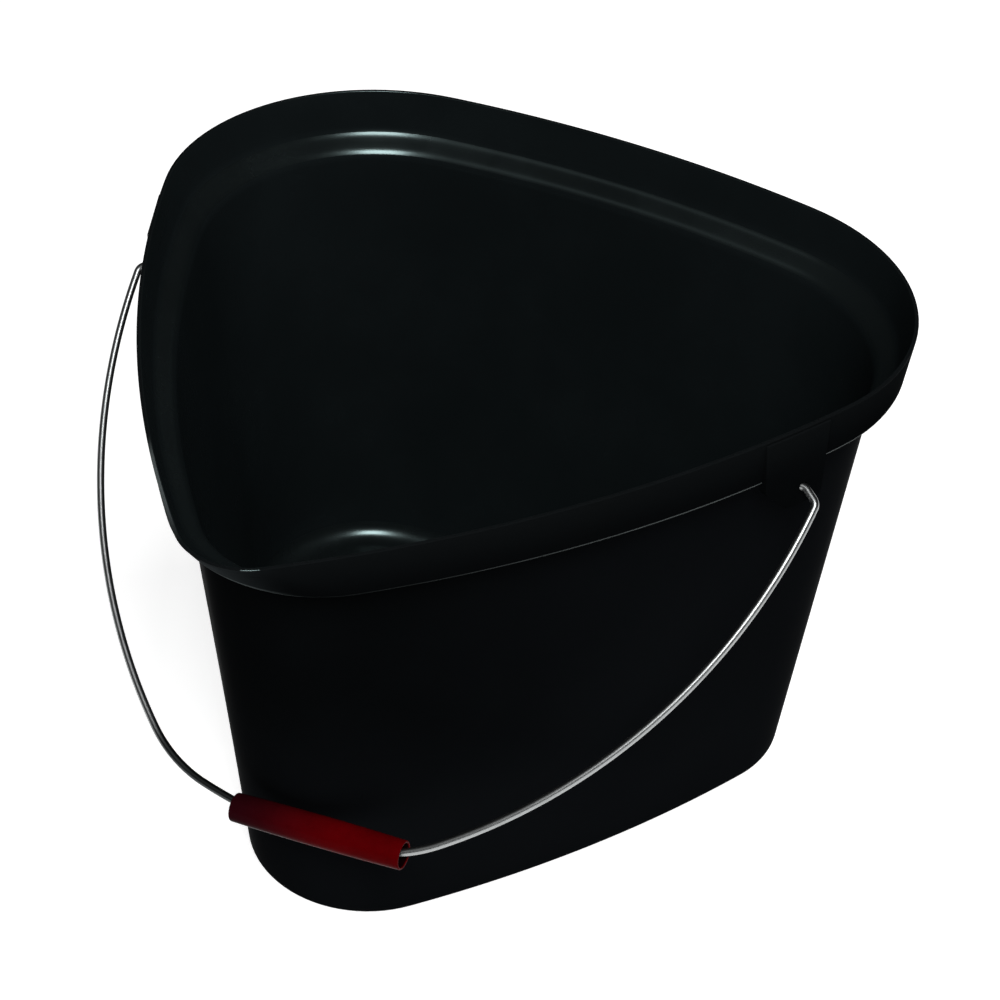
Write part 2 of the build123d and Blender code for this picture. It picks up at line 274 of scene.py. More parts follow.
def closed_rounds(corners, radii):
    """The rounds at the corners of a closed line, one list of points for each."""
    befores, afters = corners[-1:] + corners[:-1], corners[1:] + corners[:1]
    return [corner_round(*corner) for corner in zip(befores, corners, afters, radii)]


def join_rows(bm, low, high, finish):
    """A closed band of faces between two rows of points."""
    for here in range(len(low)):
        beside = (here + 1) % len(low)
        bm.faces.new((low[here], low[beside], high[beside], high[here])).material_index = finish


# Smaller rings inside a flat lid, as shares of its outline
LID_RINGS = (0.85, 0.6, 0.3)


def close_lid(bm, row, finish):
    """Fills a flat ring with smaller rings and a fan about its middle."""
    middle = sum((v.co for v in row), Vector()) / len(row)
    last = 1.0
    for size in LID_RINGS:
        inner = [bm.verts.new(middle.lerp(v.co, size / last)) for v in row]
        join_rows(bm, row, inner, finish)
        row, last = inner, size
    tip = bm.verts.new(middle)
    for one, two in zip(row, row[1:] + row[:1]):
        bm.faces.new((one, two, tip)).material_index = finish


def new_object(name, bm):
    """A scene object made from a finished bmesh."""
    mesh = bpy.data.meshes.new(name)
    bm.to_mesh(mesh)
    bm.free()
    made = bpy.data.objects.new(name, mesh)
    bpy.context.scene.collection.objects.link(made)
    return made


def closed_object(name, bm):
    """A scene object made from a closed bmesh, with its faces turned outwards."""
    bmesh.ops.recalc_face_normals(bm, faces=bm.faces)
    return new_object(name, bm)


def capped_object(name, lines, finish=0):
    """A closed object through rows of points, with one face over each end."""
    bm = bmesh.new()
    rows = [[bm.verts.new(point) for point in line] for line in lines]
    for low, high in zip(rows, rows[1:]):
        join_rows(bm, low, high, finish)
    for end in (0, -1):
        bm.faces.new(rows[end]).material_index = finish
    return closed_object(name, bm)


def combine(target, tool, operation):
    """Joins a closed mesh to another or cuts it out, and deletes the tool."""
    modifier = target.modifiers.new(operation, "BOOLEAN")
    modifier.operation = operation
    modifier.solver = "EXACT"
    modifier.object = tool
    bpy.context.view_layer.update()
    evaluated = target.evaluated_get(bpy.context.evaluated_depsgraph_get())
    old = target.data
    target.data = bpy.data.meshes.new_from_object(evaluated)
    target.modifiers.clear()
    bpy.data.meshes.remove(old)
    bpy.data.objects.remove(tool)
    return target


def mirrored(piece):
    """A copy of a piece on the -X side."""
    bm = bmesh.new()
    bm.from_mesh(piece.data)
    bmesh.ops.transform(bm, matrix=Matrix.Diagonal((-1, 1, 1, 1)), verts=bm.verts)
    bmesh.ops.reverse_faces(bm, faces=bm.faces)
    return new_object(piece.name + "_mirrored", bm)


SMOOTH_LIMIT = radians(32)


def finish_piece(piece, body, node):
    """Shades a piece smooth up to its true creases, puts it on its body and lets it stand for its solid."""
    mesh = piece.data
    mesh.polygons.foreach_set("use_smooth", [True] * len(mesh.polygons))
    mesh.set_sharp_from_angle(angle=SMOOTH_LIMIT)
    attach(piece, body)
    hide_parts(node)


# Bucket body

# A plan is a rounded triangle: a front corner, two rear corners, two bowed sides and a bowed back.
Plan = namedtuple("Plan", "front_y front_radius rear_x rear_y rear_radius side_radius back_radius")
# A ring is a plan at a height. Its corner in section has a radius and a finish for each step of the round,
# and the straight run after it has a number of steps and a finish.
Ring = namedtuple("Ring", "plan z radius round_finishes steps_after run_finish")
WALL, COLLAR, EDGE, INSIDE, RIM, WELL = range(6)
PLAIN = [WALL] * ROUND_STEPS
POLISHED = [INSIDE] * ROUND_STEPS
# Steps round a plan
FRONT_STEPS = 24
SIDE_STEPS = 44
REAR_STEPS = 32
BACK_STEPS = 40
# Steps along the straight runs of a section
FLAT_STEPS = 2
WALL_STEPS = 18
UNDERSIDE_STEPS = 3
COLLAR_STEPS = 5
FLARE_STEPS = 4


# Radius of the bowed back in every plan, in mm
BACK_RADIUS = 587.0


def make_plan(front, front_radius, half_width, rear_radius, back, side_radius):
    """A plan from its reach to the front, sides and back, and its radii, all in mm."""
    rear_x = half_width - rear_radius
    rear_y = back - BACK_RADIUS + sqrt((BACK_RADIUS - rear_radius) ** 2 - rear_x**2)
    sizes = (front_radius - front, front_radius, rear_x, rear_y, rear_radius, side_radius, BACK_RADIUS)
    return Plan(*(size * MM for size in sizes))


RIM_PLAN = make_plan(
    front=185.9, front_radius=30.0, half_width=180.0, rear_radius=100.5, back=185.0, side_radius=637.0
)
COLLAR_PLAN = make_plan(
    front=169.2, front_radius=66.6, half_width=180.0, rear_radius=100.5, back=185.0, side_radius=571.0
)
BASE_PLAN = make_plan(
    front=118.0, front_radius=56.2, half_width=143.0, rear_radius=53.8, back=142.0, side_radius=664.0
)
WELL_BASE_PLAN = make_plan(
    front=118.0, front_radius=56.2, half_width=138.4, rear_radius=60.8, back=139.0, side_radius=664.0
)


def inset_plan(plan, inset):
    """The same plan with every arc drawn in by an equal distance."""
    return plan._replace(
        front_radius=plan.front_radius - inset,
        rear_radius=plan.rear_radius - inset,
        side_radius=plan.side_radius - inset,
        back_radius=plan.back_radius - inset,
    )


def plan_between(low, high, part):
    """The plan part of the way from one plan to another."""
    return Plan(*(a + (b - a) * part for a, b in zip(low, high)))


def side_centre(plan):
    """Centre of the +X side's arc, which runs on from the front corner's arc to the rear corner's."""
    front, rear = (0, plan.front_y), (plan.rear_x, plan.rear_y)
    return touching_centre(front, plan.front_radius, rear, plan.rear_radius, plan.side_radius)


def plan_points(plan):
    """The plan's outline, anticlockwise from the front corner's -X end, with the same count for all plans."""
    cx, cy = side_centre(plan)
    back_y = plan.rear_y - sqrt((plan.back_radius - plan.rear_radius) ** 2 - plan.rear_x**2)
    front = atan2(plan.front_y - cy, -cx)
    rear = atan2(plan.rear_y - cy, plan.rear_x - cx)
    back = atan2(plan.rear_y - back_y, plan.rear_x)
    return (
        arc((0, plan.front_y), plan.front_radius, -pi - front, pi + 2 * front, FRONT_STEPS)
        + arc((cx, cy), plan.side_radius, front, rear - front, SIDE_STEPS)
        + arc((plan.rear_x, plan.rear_y), plan.rear_radius, rear, back - rear, REAR_STEPS)
        + arc((0, back_y), plan.back_radius, back, pi - 2 * back, BACK_STEPS)
        + arc((-plan.rear_x, plan.rear_y), plan.rear_radius, pi - back, back - rear, REAR_STEPS)
        + arc((-cx, cy), plan.side_radius, pi - rear, rear - front, SIDE_STEPS)
    )


def column(corners, rings):
    """One line up the wall and its finishes, rounded at the rings and with even steps between them."""
    last = len(corners) - 1
    rounds = [[corner] for corner in corners]
    for k in range(1, last):
        rounds[k] = corner_round(corners[k - 1], corners[k], corners[k + 1], rings[k].radius)
    line, finishes = [], []
    for k, points in enumerate(rounds):
        line += points
        finishes += rings[k].round_finishes[: len(points) - 1]
        if k < last:
            steps = rings[k].steps_after
            line += [points[-1].lerp(rounds[k + 1][0], step / steps) for step in range(1, steps)]
            finishes += [rings[k].run_finish] * steps
    return line, finishes


def loft(name, rings):
    """A closed mesh through the rings, with a flat lid over both ends."""
    outlines = [[Vector((x, y, ring.z)) for x, y in plan_points(ring.plan)] for ring in rings]
    columns = [column(corners, rings) for corners in zip(*outlines)]
    finishes = columns[0][1]
    bm = bmesh.new()
    rows = [[bm.verts.new(point) for point in points] for points in zip(*(line for line, _ in columns))]
    for low, high, finish in zip(rows, rows[1:], finishes):
        join_rows(bm, low, high, finish)
    for end in (0, -1):
        close_lid(bm, rows[end], rings[end].run_finish)
    return closed_object(name, bm)


def hollow_rings(mould):
    """Rings of the inside, from the floor to the rim's inner edge."""
    rim = mould.rim_height
    collar_foot = rim - mould.collar_height
    ledge_top = rim - mould.ledge_top_drop
    ledge_foot = rim - mould.ledge_foot_drop
    floor_top = mould.foot_ring_height + mould.floor
    part = (ledge_top - collar_foot) / mould.collar_height
    collar_there = plan_between(inset_plan(COLLAR_PLAN, mould.collar_draft), RIM_PLAN, part)
    ledge_top_plan = inset_plan(collar_there, mould.ledge_top_inset - mould.collar_draft * (1 - part))
    ledge_foot_plan = inset_plan(COLLAR_PLAN, mould.ledge_foot_inset)
    well_base_plan = inset_plan(WELL_BASE_PLAN, mould.wall)
    floor_plan = plan_between(well_base_plan, ledge_foot_plan, floor_top / ledge_foot)
    floor_inner = inset_plan(floor_plan, 2 * mould.floor_round)
    return [
        Ring(floor_inner, floor_top, 0, POLISHED, FLAT_STEPS, INSIDE),
        Ring(floor_plan, floor_top, mould.floor_round, POLISHED, WALL_STEPS, INSIDE),
        Ring(ledge_foot_plan, ledge_foot, mould.ledge_round, POLISHED, FLAT_STEPS, INSIDE),
        Ring(ledge_top_plan, ledge_top, mould.ledge_round, POLISHED, FLARE_STEPS, INSIDE),
        Ring(inset_plan(RIM_PLAN, mould.lip), rim, mould.lip_round, POLISHED, FLAT_STEPS, INSIDE),
    ]


def body_rings(mould):
    """Rings of the whole moulding, from under the floor, round the rim and down to the floor's top."""
    rim = mould.rim_height
    recess = mould.foot_ring_height
    recess_round, foot_round = recess / 3, recess / 6
    recess_plan = inset_plan(BASE_PLAN, mould.foot_ring_width)
    recess_inner = inset_plan(recess_plan, 2 * recess)
    wall_top_plan = inset_plan(COLLAR_PLAN, mould.wall_top_inset)
    collar_foot_plan = inset_plan(COLLAR_PLAN, mould.collar_draft)
    collar_foot = rim - mould.collar_height
    # The collar's lower round takes the edge finish, which carries a painted highlight.
    highlighted = [EDGE] * ROUND_STEPS
    outside = [
        Ring(recess_inner, recess, 0, PLAIN, FLAT_STEPS, WALL),
        Ring(recess_plan, recess, recess_round, PLAIN, FLAT_STEPS, WALL),
        Ring(recess_plan, 0, foot_round, PLAIN, FLAT_STEPS, WALL),
        Ring(BASE_PLAN, 0, mould.heel_round, PLAIN, WALL_STEPS, WALL),
        Ring(wall_top_plan, rim - mould.wall_top_drop, mould.shoulder_round, PLAIN, UNDERSIDE_STEPS, WALL),
        Ring(collar_foot_plan, collar_foot, mould.collar_round, highlighted, COLLAR_STEPS, COLLAR),
        Ring(RIM_PLAN, rim, mould.lip_round, [RIM] * ROUND_STEPS, FLAT_STEPS, RIM),
    ]
    # The ledge's polish ends half-way round each of its two edges.
    half = ROUND_STEPS // 2
    into_ledge = [WELL] * half + [INSIDE] * half
    into_well = [INSIDE] * half + [WELL] * half
    below_lip, to_ledge, to_well, to_floor, floor = hollow_rings(mould)[::-1]
    inside = [
        below_lip._replace(steps_after=FLARE_STEPS, run_finish=WELL),
        to_ledge._replace(round_finishes=into_ledge, steps_after=FLAT_STEPS),
        to_well._replace(round_finishes=into_well, steps_after=WALL_STEPS, run_finish=WELL),
        to_floor,
        floor,
    ]
    return outside + inside


def offset_corners(corners, inset):
    """Corners of a convex outline, anticlockwise, with every side moved in by the same distance."""
    moved = []
    for k, corner in enumerate(corners):
        to_last = (corners[k - 1] - corner).normalized()
        to_next = (corners[(k + 1) % len(corners)] - corner).normalized()
        half = to_last.angle(to_next) / 2
        moved.append(corner + (to_last + to_next).normalized() * (inset / sin(half)))
    return moved


def ear_outline(mould, ears, inset):
    """The ear's outline in its own plane, x to the rear and y up, drawn in by an inset."""
    top, bottom = mould.rim_height - ears.top_drop, mould.rim_height - ears.bottom_drop
    lower_corners = [
        Vector((-ears.cut_forward, mould.rim_height - ears.cut_drop, 0)),
        Vector((-ears.tip_forward, bottom, 0)),
        Vector((ears.rearward, bottom, 0)),
    ]
    upper_corners = [Vector((ears.rearward, top, 0)), Vector((-ears.top_forward, top, 0))]
    corners = offset_corners(lower_corners + upper_corners, inset)
    radii = [ears.corner_round - inset] * len(lower_corners) + [ears.edge_round] * len(upper_corners)
    return sum(closed_rounds(corners, radii), [])


def ear_blank(mould, ears):
    """The +X ear as a closed plate with rounded outer edges, standing a little proud of the rim's side."""
    cx, cy = side_centre(RIM_PLAN)
    turn = asin((ears.middle_y - cy) / RIM_PLAN.side_radius)
    outward = Vector((cos(turn), sin(turn), 0))
    rearward = Vector((-sin(turn), cos(turn), 0))
    outer = Vector((cx, cy, 0)) + outward * (RIM_PLAN.side_radius + ears.proud)
    levels = [(0, ears.thickness)]
    for k in range(ROUND_STEPS + 1):
        t = pi / 2 * k / ROUND_STEPS
        levels.append((ears.edge_round * (1 - cos(t)), ears.edge_round * (1 - sin(t))))
    rows = []
    for inset, depth in levels:
        origin = outer - outward * depth
        rows.append([origin + rearward * p.x + Vector((0, 0, p.y)) for p in ear_outline(mould, ears, inset)])
    return capped_object("ear_blank", rows, COLLAR)


DRILL_SIDES = 32
# The drill's inner end lies this far outside the wire's cut end.
DRILL_SHORT = 1 * MM


def ear_drill(bail):
    """A round bar along the hinge line, through the +X ear and short of the wall behind it."""
    start, end = bail.tail_end + DRILL_SHORT, bail.half_width
    radius, depth = bail.wire / 2 + bail.play, end - start
    place = Matrix.Translation(((start + end) / 2, HINGE.y, HINGE.z)) @ Matrix.Rotation(pi / 2, 4, "Y")
    bm = bmesh.new()
    bmesh.ops.create_cone(
        bm, cap_ends=True, segments=DRILL_SIDES, radius1=radius, radius2=radius, depth=depth, matrix=place
    )
    return new_object("ear_drill", bm)


def add_ears(body, mould, ears, bail):
    """Joins an ear, cut back to the hollow, to each side of the moulding and drills it."""
    rings = hollow_rings(mould)
    lid = rings[-1]._replace(radius=0)
    above = lid._replace(z=mould.rim_height + 2 * mould.lip)
    hollow = loft("hollow", rings[:-1] + [lid, above])
    ear = combine(ear_blank(mould, ears), hollow, "DIFFERENCE")
    for tool, operation in ((ear, "UNION"), (ear_drill(bail), "DIFFERENCE")):
        other = mirrored(tool)
        combine(body, tool, operation)
        combine(body, other, operation)


def polish_spot(body, mould):
    """Polishes a short stretch of the pouring lip."""
    for face in body.data.polygons:
        at_spot = face.center.y < 0 and mould.spot_start < face.center.x < mould.spot_end
        if at_spot and face.material_index == RIM:
            face.material_index = INSIDE


class BUCKET_OT_mould_body(bpy.types.Operator):
    """Make the moulded bucket with its stepped collar, pouring corner and drilled ears"""

    bl_idname = "bucket.mould_body"
    bl_label = "Mould the bucket"
    bl_options = {"REGISTER", "UNDO"}

    def execute(self, context):
        scene = context.scene
        mould = scene.bucket_moulding
        body = loft("moulded_bucket", body_rings(mould))
        for finish in body_finishes(mould):
            body.data.materials.append(finish)
        polish_spot(body, mould)
        add_ears(body, mould, scene.bucket_ears, scene.bucket_bail)
        finish_piece(body, "bucket", "bucket_body")
        return {"FINISHED"}


# Bail

HOOK_STEPS = 9
ARM_STEPS = 60
SHOULDER_STEPS = 24
MIDDLE_STEPS = 40
WIRE_SIDES = 24


def hook_line(bail, arm):
    """A turned-in end's bends as points, and the turn about the arm's centre at which the arm begins."""
    along = Vector((cos(bail.hook_slope), sin(bail.hook_slope)))
    across = Vector((-sin(bail.hook_slope), cos(bail.hook_slope)))
    corner = Vector((bail.hook_x, 0))
    inner = corner - Vector((bail.hook_radius * tan(bail.hook_slope / 2), -bail.hook_radius))
    from_arm = corner + across * bail.hook_radius - Vector(arm)
    ahead = from_arm.dot(along)
    run = sqrt(ahead**2 - from_arm.length_squared + (bail.arm_radius - bail.hook_radius) ** 2) - ahead
    outer = corner + along * run + across * bail.hook_radius
    arm_start = atan2(outer.y - arm[1], outer.x - arm[0])
    line = arc(inner, bail.hook_radius, -pi / 2, bail.hook_slope, HOOK_STEPS)
    line += [tuple(inner - across * bail.hook_radius)]
    outer_start = bail.hook_slope - pi / 2
    line += arc(outer, bail.hook_radius, outer_start, arm_start - outer_start, HOOK_STEPS)
    return line, arm_start


def bail_line(bail):
    """Centre line of the wire in the bail's plane, x along the hinge line and y away from it."""
    arm = (bail.half_width - bail.arm_radius, -bail.arm_centre_rise)
    middle = (0, bail.reach - bail.middle_radius)
    shoulder = touching_centre(arm, bail.arm_radius, middle, bail.middle_radius, bail.shoulder_radius)
    hook, arm_start = hook_line(bail, arm)
    arm_turn = atan2(shoulder[1] - arm[1], shoulder[0] - arm[0])
    middle_turn = atan2(shoulder[1] - middle[1], shoulder[0])
    half = [(bail.tail_end, 0)] + hook
    half += arc(arm, bail.arm_radius, arm_start, arm_turn - arm_start, ARM_STEPS)
    half += arc(shoulder, bail.shoulder_radius, arm_turn, middle_turn - arm_turn, SHOULDER_STEPS)
    bow = arc(middle, bail.middle_radius, middle_turn, pi - 2 * middle_turn, MIDDLE_STEPS)
    mirror = [(-x, y) for x, y in half[::-1]]
    return half + bow + mirror


def tube_along(name, points, flat_normal, radius, chamfer):
    """A closed round bar along a line that lies in one plane, with chamfered cut ends."""
    befores, afters = points[:1] + points[:-1], points[1:] + points[-1:]
    tangents = [(after - before).normalized() for before, after in zip(befores, afters)]
    first, last = points[0], points[-1]
    shoulders = first + tangents[0] * chamfer, last - tangents[-1] * chamfer
    places = [first, shoulders[0], *points[1:-1], shoulders[1], last]
    sizes = [radius - chamfer] + [radius] * len(points) + [radius - chamfer]
    turns = [2 * pi * k / WIRE_SIDES for k in range(WIRE_SIDES)]
    rows = []
    for point, tangent, size in zip(places, tangents[:1] + tangents + tangents[-1:], sizes):
        across = tangent.cross(flat_normal)
        rows.append([point + (across * cos(t) + flat_normal * sin(t)) * size for t in turns])
    return capped_object(name, rows)


class BUCKET_OT_bend_bail(bpy.types.Operator):
    """Bend the wire bail between the two ears"""

    bl_idname = "bucket.bend_bail"
    bl_label = "Bend the bail"
    bl_options = {"REGISTER", "UNDO"}

    def execute(self, context):
        bail = context.scene.bucket_bail
        reach = Vector((0, -sin(bail.lean), -cos(bail.lean)))
        normal = Vector((1, 0, 0)).cross(reach)
        points = [HINGE + Vector((x, 0, 0)) + reach * y for x, y in bail_line(bail)]
        chamfer = bail.wire / 8
        wire = tube_along("wire_bail", points, normal, bail.wire / 2, chamfer)
        wire.data.materials.append(plated_wire(bail))
        finish_piece(wire, "bail", "bail_wire")
        return {"FINISHED"}


# Grip

GRIP_SIDES = 64
OUTER, BORE = range(2)
# Steps and finish of the tube's outside, its +X end, its bore and its -X end; the bore and the -X end carry
# painted shade
GRIP_RUNS = ((24, OUTER), (1, OUTER), (24, BORE), (1, BORE))


def grip_profile(grip):
    """Half section of the tube as (distance along, radius), a closed line, and the finishes along it."""
    half, end, inner, edge = grip.length / 2, grip.end_diameter / 2, grip.bore / 2, grip.edge_round
    corners = [Vector((x, y, 0)) for x, y in ((-half, end), (half, end), (half, inner), (-half, inner))]
    rounds = closed_rounds(corners, [edge] * len(corners))
    line, finishes = [], []
    for points, following, (steps, finish) in zip(rounds, rounds[1:] + rounds[:1], GRIP_RUNS):
        line += points
        line += [points[-1].lerp(following[0], step / steps) for step in range(1, steps)]
        finishes += [OUTER] * (len(points) - 1) + [finish] * steps
    swell = (grip.middle_diameter - grip.end_diameter) / 2
    for point in line:
        if point.y > end - edge / 2:
            point.y += swell * (1 - (point.x / half) ** 2)
    return line, finishes


class BUCKET_OT_fit_grip(bpy.types.Operator):
    """Slide the thin tube grip onto the bail"""

    bl_idname = "bucket.fit_grip"
    bl_label = "Fit the grip"
    bl_options = {"REGISTER", "UNDO"}

    def execute(self, context):
        grip = context.scene.bucket_grip
        side = GRIP_ALONG.cross(Vector((0, 0, 1))).normalized()
        up = side.cross(GRIP_ALONG)
        turns = [2 * pi * k / GRIP_SIDES for k in range(GRIP_SIDES)]
        spokes = [side * cos(t) + up * sin(t) for t in turns]
        profile, finishes = grip_profile(grip)
        bm = bmesh.new()
        rows = []
        for p in profile:
            rows.append([bm.verts.new(GRIP_MIDDLE + GRIP_ALONG * p.x + spoke * p.y) for spoke in spokes])
        for row, following, finish in zip(rows, rows[1:] + rows[:1], finishes):
            join_rows(bm, row, following, finish)
        tube = closed_object("tube_grip", bm)
        tube.data.materials.append(red_tube("red_tube_plastic", grip, grip.red, grip.deep_red))
        # The bore and the -X end face are painted dark as painted shade.
        tube.data.materials.append(red_tube("red_tube_bore", grip, grip.bore_red, grip.bore_red))
        finish_piece(tube, "grip", "grip_tube")
        return {"FINISHED"}


# Finishes

WHITE = (1.0, 1.0, 1.0, 1.0)
COOL_GLOSS = (0.75, 1.0, 1.0, 1.0)
# Sockets of a Mix node that mixes colours
MIX_FACTOR, MIX_FIRST, MIX_SECOND, MIX_RESULT = 0, 6, 7, 2
# Clouds are noise with this detail and roughness. Most of the noise lies in its middle.
CLOUD_DETAIL = 4
CLOUD_ROUGHNESS = 0.6
NOISE_MIDDLE = (0.3, 0.7)
# Noise scales are in waves per metre. Clouds shift the colour over a part of the noise's range,
# and make the surface smoother and rougher by the last two values.
Clouds = namedtuple("Clouds", "scale colour_range smoother rougher")
MOULD_CLOUDS = Clouds(16, (0.35, 0.75), 0.03, 0.05)
WIRE_CLOUDS = Clouds(70, (0.45, 0.75), 0.02, 0.03)
TUBE_CLOUDS = Clouds(60, (0.35, 0.70), 0.04, 0.06)
Relief = namedtuple("Relief", "scale detail strength depth")
MOULD_RIPPLE = Relief(45, 1, 0.05, 0.2 * MM)
MOULD_GRAIN = Relief(1400, 1, 0.04, 0.05 * MM)
WIRE_MARKS = Relief(1800, 2, 0.02, 0.02 * MM)
TUBE_SCRATCHES = Relief(900, 2, 0.05, 0.04 * MM)
# The clouds' colours beside the plain ones
MOULD_CLOUD_TONE = 1.2
TUBE_CLOUD_TONE = 0.8


def rgba(values):
    """An opaque colour."""
    return (*values, 1.0)


class NodeSheet:
    """A small helper to lay out one material's nodes."""

    def __init__(self, name):
        self.material = bpy.data.materials.new(name)
        self.material.use_nodes = True
        self.tree = self.material.node_tree
        self.surface = self.tree.nodes["Principled BSDF"]
        self.place = self.add("ShaderNodeTexCoord").outputs["Object"]

    def add(self, kind, settings=None, **inputs):
        """A node with settings on the node itself and values or links on its inputs."""
        node = self.tree.nodes.new(kind)
        for key, value in (settings or {}).items():
            setattr(node, key, value)
        for key, value in inputs.items():
            self.set(node.inputs[key], value)
        return node

    def set(self, socket, value):
        """A constant or a link on one socket."""
        if isinstance(value, bpy.types.NodeSocket):
            self.tree.links.new(value, socket)
        else:
            socket.default_value = value

    def finish(self, name, value):
        """A constant or a link on one input of the surface."""
        self.set(self.surface.inputs[name], value)

    def noise(self, scale, detail, roughness=0.5, place=None):
        """Cloudy noise, from 0 to 1."""
        return self.add(
            "ShaderNodeTexNoise", Vector=place or self.place, Scale=scale, Detail=detail, Roughness=roughness
        ).outputs["Fac"]

    def ramp(self, value, low, high, to_low=0.0, to_high=1.0):
        """A value stretched from one range to another and held at its ends."""
        node = self.add("ShaderNodeMapRange", {"interpolation_type": "SMOOTHSTEP"}, Value=value)
        for key, amount in (("From Min", low), ("From Max", high), ("To Min", to_low), ("To Max", to_high)):
            node.inputs[key].default_value = amount
        return node.outputs["Result"]

    def rise(self, axis, low, high, start=0.0, end=1.0):
        """A mask that goes from its start to its end between two places along X, Y or Z."""
        place = self.add("ShaderNodeSeparateXYZ", Vector=self.place).outputs[axis]
        return self.ramp(place, low, high, start, end)

    def fall(self, axis, low, high):
        """A mask that drops from 1 to 0 between two places along X, Y or Z."""
        return self.rise(axis, low, high, 1.0, 0.0)

    def math(self, operation, first, second):
        """A product, maximum or the like of two values or sockets."""
        node = self.add("ShaderNodeMath", {"operation": operation})
        self.set(node.inputs[0], first)
        self.set(node.inputs[1], second)
        return node.outputs[0]

    def mix(self, factor, first, second):
        """A colour between two colours."""
        node = self.add("ShaderNodeMix", {"data_type": "RGBA"})
        for socket, value in ((MIX_FACTOR, factor), (MIX_FIRST, first), (MIX_SECOND, second)):
            self.set(node.inputs[socket], value)
        return node.outputs[MIX_RESULT]

    def paint(self, mask, values):
        """Paints a colour over the surface's colour so far, where a mask lets it through."""
        so_far = self.surface.inputs["Base Color"].links[0].from_socket
        self.finish("Base Color", self.mix(mask, so_far, rgba(values)))

    def clouds(self, kind, roughness):
        """Makes the roughness cloudy, and gives the same clouds as a mask for the colour."""
        cloud = self.noise(kind.scale, CLOUD_DETAIL, CLOUD_ROUGHNESS)
        smooth, rough = roughness - kind.smoother, roughness + kind.rougher
        self.finish("Roughness", self.ramp(cloud, *NOISE_MIDDLE, smooth, rough))
        return self.ramp(cloud, *kind.colour_range)

    def relief(self, kind, below=None):
        """A normal bumped by fine noise, on top of another normal if there is one."""
        height = self.noise(kind.scale, kind.detail)
        node = self.add("ShaderNodeBump", Height=height, Strength=kind.strength, Distance=kind.depth)
        if below:
            self.set(node.inputs["Normal"], below)
        return node.outputs["Normal"]


def black_plastic(name, black, gloss, roughness):
    """The sheet of a black moulded plastic with cloudy flow marks and a fine grain."""
    sheet = NodeSheet(name)
    sheet.finish("Specular IOR Level", gloss)
    sheet.finish("Specular Tint", COOL_GLOSS)
    cloud = sheet.clouds(MOULD_CLOUDS, roughness)
    paler = [MOULD_CLOUD_TONE * v for v in black]
    sheet.finish("Base Color", sheet.mix(cloud, rgba(black), rgba(paler)))
    sheet.finish("Normal", sheet.relief(MOULD_GRAIN, sheet.relief(MOULD_RIPPLE)))
    return sheet


# Where and how the wall's painted bounce light lies
BOUNCE_SIDE = (30 * MM, 140 * MM)
BOUNCE_FOOT = (30 * MM, 160 * MM)
BOUNCE_SCALE = 9
BOUNCE_DETAIL = 3
BOUNCE_LEAST = 0.7


def paint_wall_bounce(sheet, mould):
    """Painted bounce light on the outside: paler in patches, low down and on the +X side."""
    side = sheet.rise("X", *BOUNCE_SIDE)
    foot = sheet.fall("Z", *BOUNCE_FOOT)
    bounce_patches = sheet.ramp(sheet.noise(BOUNCE_SCALE, BOUNCE_DETAIL), *NOISE_MIDDLE, BOUNCE_LEAST)
    # Paints the bounce light over the wall's colour.
    sheet.paint(sheet.math("MULTIPLY", bounce_patches, sheet.math("MAXIMUM", side, foot)), mould.bounce_black)


# Where and how the collar's painted sheen lies, and the width of the painted highlight strip at its foot
SHEEN_SIDE = (-5 * MM, 26 * MM)
SHEEN_FRONT = (-150 * MM, -120 * MM)
SHEEN_SCALE = 55
SHEEN_SQUEEZE = (1, 1, 14)
SHEEN_LEAST = 0.55
CORNER_HIGHLIGHT_STRIP = 1.5 * MM


def paint_collar_light(sheet, mould):
    """Painted light on the collar: paler towards the rim, a streaky painted sheen and a painted highlight
    along its foot at the pouring corner.
    """
    foot = mould.rim_height - mould.collar_height
    # Painted light: the collar grows paler towards the rim.
    sheet.paint(sheet.rise("Z", foot, mould.rim_height), mould.rim_black_and_collar_light)
    # Painted sheen in streaks at the pouring corner.
    squeezed = sheet.add("ShaderNodeVectorMath", {"operation": "MULTIPLY"})
    sheet.set(squeezed.inputs[0], sheet.place)
    sheet.set(squeezed.inputs[1], SHEEN_SQUEEZE)
    noise = sheet.noise(SHEEN_SCALE, CLOUD_DETAIL, CLOUD_ROUGHNESS, squeezed.outputs[0])
    streak = sheet.ramp(noise, *NOISE_MIDDLE, SHEEN_LEAST)
    corner = sheet.math("MULTIPLY", sheet.fall("X", *SHEEN_SIDE), sheet.fall("Y", *SHEEN_FRONT))
    sheet.paint(sheet.math("MULTIPLY", streak, corner), mould.sheen_black)
    # Painted highlight in a thin strip along the collar's foot at the pouring corner.
    strip_foot = foot + mould.collar_round
    strip = sheet.fall("Z", strip_foot, strip_foot + CORNER_HIGHLIGHT_STRIP)
    sheet.paint(sheet.math("MULTIPLY", strip, corner), mould.corner_highlight)


# Where the painted highlight on the collar's lower edge goes dark, and where it is pale at the pouring
# corner, along X
EDGE_SIDE = (40 * MM, 140 * MM)
EDGE_CORNER = (16 * MM, 32 * MM)


def paint_edge_highlight(sheet, mould):
    """The collar's lower edge carries a painted highlight: pale at the pouring corner and on its -X side,
    dark just past the corner, and growing pale towards the +X ear.
    """
    sheet.paint(sheet.fall("X", *EDGE_SIDE), mould.edge_unlit)
    sheet.paint(sheet.fall("X", *EDGE_CORNER), mould.corner_highlight)


# Where the lip's painted highlight lies
LIP_START = (-66 * MM, -54 * MM)
LIP_END = (-42 * MM, -14 * MM)
LIP_FRONT = (-110 * MM, -90 * MM)


